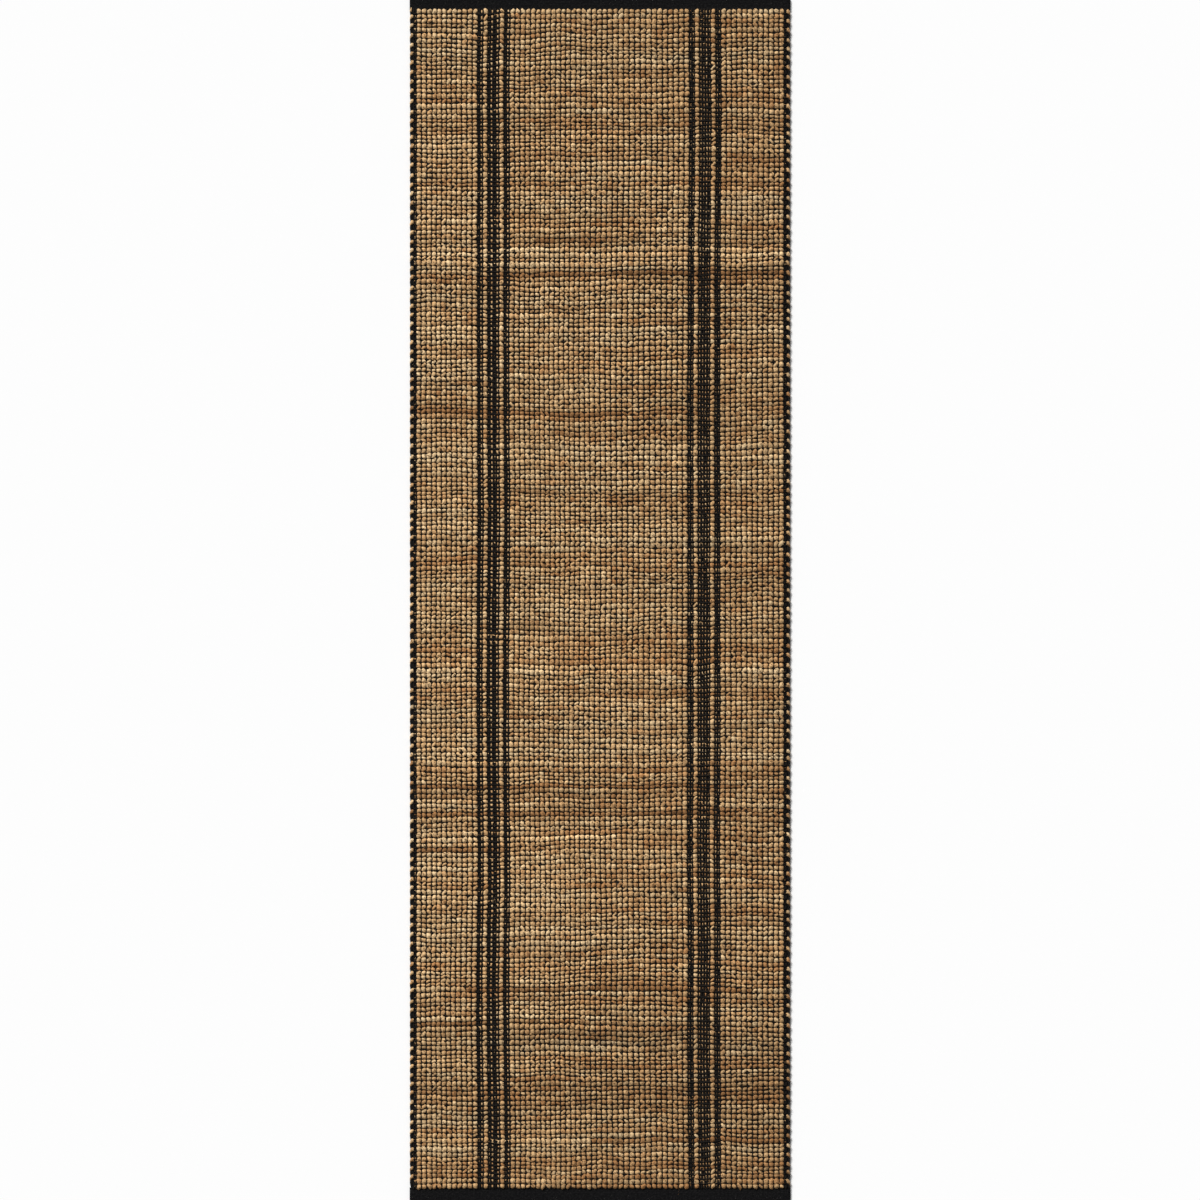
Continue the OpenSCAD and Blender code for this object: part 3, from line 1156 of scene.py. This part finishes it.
@dataclass
class Selvedge:
    """The black warps of one long edge: two face warps, and the cord that the jute turns round."""

    loom: Loom
    hand: str
    warps: BlackWarps
    cord_x: float = 375.6 * MM
    cord_half_width: float = 2.6 * MM
    cord_half_height: float = 1.9 * MM
    cord_z: float = 4.1 * MM
    end_share: float = 0.5
    tuck: float = 3.0 * MM
    sway: float = 1.2 * MM
    swelling: float = 0.5 * MM
    ease: float = 0.7

    def build(self, look: bpy.types.Material) -> bpy.types.Object:
        """Make the edge's yarns and dress them."""
        loom = self.loom
        left = self.hand == "left"
        face = self.warps.face_rings(0 if left else len(loom.zones) - 1)
        edge = 0 if left else -1
        stations = 2 * loom.rows + 1
        y = np.empty(stations)
        y[1::2] = loom.row_y[:, edge]
        y[2:-1:2] = loom.valley_y()[:, edge]
        y[0], y[-1] = loom.foot_y - self.tuck, loom.head_y + self.tuck
        under = np.zeros(stations)
        under[1::2] = np.arange(loom.rows) % 2 == (0 if left else 1)
        swell = 1.0 - smoothed(under, self.ease, axis=0) * 2.0
        x = (-1.0 if left else 1.0) * (self.cord_x + self.sway * swell)
        thin = np.ones(stations)
        thin[[0, -1]] = self.end_share
        path = np.stack([x, y, self.cord_z * thin], axis=-1)[None]
        wide = ((self.cord_half_width + self.swelling * swell) * thin)[None]
        tall = ((self.cord_half_height + self.swelling * swell) * thin)[None]
        cord = tube(path, wide, tall, ACROSS, self.warps.around)
        piece = closed_strands(f"{self.hand}_selvedge_yarns", np.concatenate([face, cord]))
        install(piece, f"selvedge_{self.hand}", look)
        return piece


# ----------------------------------------------------------------------------- hems


def level_line(start: float, stop: float, height: float, count: int) -> Array:
    """Lay evenly spaced points at one height, as (points, 2)."""
    return np.stack([np.linspace(start, stop, count), np.full(count, height)], axis=1)


@dataclass
class Hem:
    """The black heading of one end, folded under on itself, and its seam.

    The section runs from the tucked inner edge over the upper leaf, round the fold, back
    along the lower leaf and over it again, with a thin gap between the leaves.
    """

    loom: Loom
    end: str
    inner_z: float = 4.5 * MM
    overlap: float = 3.6 * MM
    under_overlap: float = 1.5 * MM
    rib_step: float = 1.5 * MM
    rib_height: float = 0.09 * MM
    across_steps: int = 150
    upper_points: int = 44
    fold_points: int = 9
    lower_points: int = 12
    inner_points: int = 8
    fold_limit: float = 75.0
    half_gap: float = 0.1 * MM
    fall_length: float = 5.0 * MM
    end_crowding: float = 0.98
    fold_wave: float = 0.25 * MM
    fold_ripple: float = 0.08 * MM
    lift: float = 0.10 * MM
    wave_reach: float = 5.0
    ripple_reach: float = 1.2
    stitch_half: float = 0.34 * MM
    stitch_pitch: float = 8.0 * MM
    stitch_length: float = 5.0 * MM
    stitch_slant: float = 0.25 * MM
    stitch_sink: float = 0.3 * MM
    stitch_arch: float = 0.55 * MM
    stitch_points: int = 5
    seed: int = 41

    def __post_init__(self) -> None:
        """Take the hem's place from its packed box."""
        low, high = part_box(f"hem_{self.end}")
        self.outward = 1.0 if self.end == "head" else -1.0
        self.cloth_edge = self.loom.head_y if self.end == "head" else self.loom.foot_y
        self.fold_y = high.y if self.end == "head" else low.y
        self.half_span = high.x
        self.thick = high.z
        self.reach = abs(self.fold_y - self.cloth_edge)

    def section(self) -> Array:
        """Work out the section as (points, 2): way out from the cloth's edge, and height.

        The upper face falls from the last jute row to the hem's height as a cosine, and
        small ribs lie along it. The fold is half a circle, outside and inside.
        """
        radius = self.thick / 2.0
        leaf = radius - self.half_gap
        start, under, stop = -self.overlap, -self.under_overlap, self.reach - radius
        out = np.linspace(start, stop, self.upper_points)
        ease = np.clip((out - start) / self.fall_length, 0.0, 1.0)
        fall = (self.inner_z - self.thick) * (0.5 + 0.5 * np.cos(np.pi * ease))
        ribs = self.rib_height * np.sin(2.0 * np.pi * out / self.rib_step)
        upper = np.stack([out, self.thick + fall + ribs], axis=1)
        turn = np.radians(np.linspace(self.fold_limit, -self.fold_limit, self.fold_points))
        fold = np.stack([stop + radius * np.cos(turn), radius + radius * np.sin(turn)], axis=1)
        lower = level_line(stop, under, 0.0, self.lower_points)
        inside_lower = level_line(under, stop, leaf, self.inner_points)
        inside_upper = level_line(stop, start, self.thick - leaf, self.inner_points)
        return np.concatenate([upper, fold, lower, inside_lower, inside_upper])

    def build(self, look: bpy.types.Material) -> bpy.types.Object:
        """Sweep the section across the rug, with a slightly wavy fold, and dress it.

        Args:
            look: The hem cloth's material.

        Returns:
            The piece.
        """
        rng = np.random.default_rng(self.seed)
        outline = self.section()
        x = np.linspace(-self.half_span, self.half_span, self.across_steps)
        x = np.sign(x) * self.half_span * np.abs(x / self.half_span) ** self.end_crowding
        slow = uneven(rng, (self.across_steps,), (self.wave_reach,))
        quick = uneven(rng, (self.across_steps,), (self.ripple_reach,))
        out = outline[:, 0][None, :]
        share = np.clip(out / self.reach, 0.0, 1.0)
        shift = (self.fold_wave * (1.0 + slow) + self.fold_ripple * quick)[:, None] * share ** 2
        lift = (self.lift * quick)[:, None] * np.sin(np.pi * share) * (outline[:, 1] > 0.0)
        y = self.cloth_edge + self.outward * (out + shift)
        z = outline[:, 1][None, :] + lift
        rings = np.stack(np.broadcast_arrays(x[:, None], y, z), axis=-1)[None]
        if self.outward > 0.0:
            rings = rings[:, :, ::-1]
        piece = closed_strands(f"{self.end}_hem_cloth", rings)
        install(piece, f"hem_{self.end}", look)
        steps = np.linalg.norm(np.diff(outline, axis=0, append=outline[:1]), axis=1)
        self.flat = (2.0 * self.half_span, float(steps.sum()) / 2.0)
        return piece

    def seam(self, look: bpy.types.Material) -> bpy.types.Object:
        """Sew the hem: low arches of thread, each with both ends in the cloth.

        Args:
            look: The thread's material.

        Returns:
            The piece. Each stitch has as many sides as rings.
        """
        low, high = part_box(f"hem_thread_{self.end}")
        pitch, length, points = self.stitch_pitch, self.stitch_length, self.stitch_points
        count = round((high.x - low.x - length) / pitch) + 1
        rng = np.random.default_rng(self.seed + 1)
        share = np.linspace(0.0, 1.0, points)
        slant = self.stitch_slant * uneven(rng, (count, 1), (0.0, 0.0)) * (share - 0.5)
        x = low.x + pitch * np.arange(count)[:, None] + length * share
        y = (low.y + high.y) / 2.0 + slant
        z = self.thick - self.stitch_sink + self.stitch_arch * np.sin(np.pi * share)
        path = np.stack(np.broadcast_arrays(x, y, z), axis=-1)
        rings = tube(path, self.stitch_half, self.stitch_half, ALONG, points)
        piece = closed_strands(f"{self.end}_seam", rings)
        install(piece, f"hem_thread_{self.end}", look)
        return piece


# --------------------------------------------------------------------- loose fibres


@dataclass
class LooseFibres:
    """Fine hairs that stand off the yarns: jute ones on the cloth, cotton ones on the hems."""

    loom: Loom
    jute_count: int = 320
    lint_count: int = 60
    half_thickness: float = 0.07 * MM
    steps: int = 7
    shortest: float = 0.35
    heading: float = 0.9
    bend: float = 1.1
    sink: float = 0.5 * MM
    least_arch: float = 0.3 * MM
    more_arch: float = 1.1 * MM
    jute_z: float = 7.9 * MM
    jute_length: float = 20.0 * MM
    jute_margin: float = 12.0 * MM
    lint_z: float = 4.35 * MM
    lint_length: float = 7.0 * MM
    lint_reach: float = 360.0 * MM
    lint_foot: float = 6.0 * MM
    lint_head: float = 8.0 * MM
    lint_breadth: float = 4.0 * MM
    seed: int = 53

    def hairs(self, rng: np.random.Generator, root: Array, height: float, longest: float) -> Array:
        """Lay hairs as arcs of slow turn.

        A hair sets out at a random angle and keeps turning by the same amount, and its
        height follows half a sine wave over `height`, so that both ends dip into the yarns.

        Args:
            rng: The source of chance.
            root: Where each hair starts, as (hairs, 2).
            height: The height of the surface.
            longest: The longest hair.

        Returns:
            Skin points.
        """
        count = len(root)
        share = np.linspace(0.0, 1.0, self.steps)
        length = longest * (self.shortest + (1.0 - self.shortest) * rng.random((count, 1)))
        heading = np.pi * (rng.random((count, 1)) - 0.5) * self.heading
        bend = rng.standard_normal((count, 1)) * self.bend
        angle = heading + bend * share
        step = length / (self.steps - 1)
        x = root[:, :1] + np.cumsum(np.cos(angle) * step, axis=1)
        y = root[:, 1:] + np.cumsum(np.sin(angle) * step, axis=1)
        arch = self.least_arch + self.more_arch * rng.random((count, 1))
        z = height - self.sink + arch * np.sin(np.pi * share)
        path = np.stack([x, y, z], axis=-1)
        return tube(path, self.half_thickness, self.half_thickness, UPWARD, 3)

    def build(self, jute: bpy.types.Material, lint: bpy.types.Material) -> list[bpy.types.Object]:
        """Make both sets of hairs and dress them."""
        rng = np.random.default_rng(self.seed)
        loom = self.loom
        reach = np.array([loom.line_at[-1], loom.head_y]) - self.jute_margin
        root = (rng.random((self.jute_count, 2)) * 2.0 - 1.0) * reach
        rings = self.hairs(rng, root, self.jute_z, self.jute_length)
        marks = np.repeat(rng.standard_normal((self.jute_count, 1)), self.steps, axis=1)
        fuzz = closed_strands("loose_jute_fibres", rings, {"shade": marks + 1.0, "ripe": -marks})
        install(fuzz, None, jute)
        at_foot = rng.random(self.lint_count) < 0.5
        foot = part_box("hem_foot")[0].y + self.lint_foot
        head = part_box("hem_head")[1].y - self.lint_head
        y = np.where(at_foot, foot, head)
        y += self.lint_breadth * (rng.random(self.lint_count) - 0.5)
        x = (rng.random(self.lint_count) * 2.0 - 1.0) * self.lint_reach
        root = np.stack([x, y], axis=1)
        dust = closed_strands("cotton_lint", self.hairs(rng, root, self.lint_z, self.lint_length))
        install(dust, None, lint)
        return [fuzz, dust]


# --------------------------------------------------------------------------- studio


@dataclass
class Studio:
    """A pale floor, soft light from the upper left, and a camera straight above the rug."""

    camera_height: float = 12.0
    framed: float = 2.397
    sensor: float = 36.0
    floor_half: float = 9.0
    floor_colour: Colour = (0.93, 0.93, 0.93)
    floor_roughness: float = 0.85
    floor_gloss: float = 0.1
    grain_scale: float = 3.0
    key_strength: float = 4.4
    key_softness: float = 22.0
    key_tilt: Vector = (-46.0, -36.0, 0.0)
    fill_strength: float = 0.27

    def build(self) -> None:
        """Set up the whole studio."""
        self.floor()
        self.light()
        self.camera()
        bpy.context.scene.view_settings.view_transform = "Standard"

    def floor(self) -> None:
        """Lay the floor, with a faint grain in its roughness."""
        half = self.floor_half
        mesh = bpy.data.meshes.new("studio_floor")
        corners = [(-half, -half, 0.0), (half, -half, 0.0), (half, half, 0.0), (-half, half, 0.0)]
        mesh.from_pydata(corners, [], [(0, 1, 2, 3)])
        floor = bpy.data.objects.new("studio_floor", mesh)
        bpy.context.collection.objects.link(floor)
        look, bench, shader = new_material("pale_floor")
        grain = bench.noise(bench.place(), self.grain_scale)
        dress(bench, shader, {
            "Base Color": solid(self.floor_colour),
            "Roughness": bench.plus(self.floor_roughness, 0.1, grain),
            "Specular IOR Level": self.floor_gloss,
        })
        mesh.materials.append(look)

    def light(self) -> None:
        """Hang the soft key light, and let the surroundings fill the shadows."""
        sun = bpy.data.lights.new("key_light", "SUN")
        sun.energy = self.key_strength
        sun.angle = math.radians(self.key_softness)
        key = bpy.data.objects.new("key_light", sun)
        key.rotation_euler = [math.radians(angle) for angle in self.key_tilt]
        bpy.context.collection.objects.link(key)
        world = bpy.data.worlds.new("surroundings")
        world.use_nodes = True
        background = world.node_tree.nodes["Background"]
        background.inputs["Color"].default_value = (1.0, 1.0, 1.0, 1.0)
        background.inputs["Strength"].default_value = self.fill_strength
        bpy.context.scene.world = world

    def camera(self) -> None:
        """Put the camera straight above, with the head of the rug at the top."""
        lens = bpy.data.cameras.new("camera")
        lens.sensor_width = self.sensor
        lens.lens = self.sensor * self.camera_height / self.framed
        lens.clip_end = 100.0
        camera = bpy.data.objects.new("camera", lens)
        camera.location = (0.0, 0.0, self.camera_height)
        bpy.context.collection.objects.link(camera)
        bpy.context.scene.camera = camera


def main() -> None:
    """Weave the rug, bind its ends and set up the studio."""
    logging.basicConfig(level=logging.INFO, format="%(name)s: %(message)s")

    fibres, lint = strand_group(), lint_group()
    jute_look = JuteFinish(fibres).build()
    groups = {"fibres": fibres, "lint": lint}
    cotton_look = CottonFinish(**groups).build()
    thread_look = CottonFinish(**groups, name="thread", black=THREAD_BLACK).build()
    lint_look = CottonFinish(**groups, name="pale_lint", black=LINT_PALE).build()
    hem_look = HemFinish(lint=lint).build()

    loom = Loom()
    jute = JuteWeft(loom).build(jute_look)
    binder = BinderWeft(loom).build(cotton_look)
    warps = BlackWarps(loom)
    black = [binder, *warps.build(cotton_look)]
    black += [Selvedge(loom, hand, warps).build(cotton_look) for hand in ("left", "right")]
    hems = [Hem(loom, end) for end in ("head", "foot")]
    hem_cloths = [hem.build(hem_look) for hem in hems]
    seams = [hem.seam(thread_look) for hem in hems]
    loose = LooseFibres(loom).build(jute_look, lint_look)

    Studio().build()


if __name__ == "__main__":
    main()
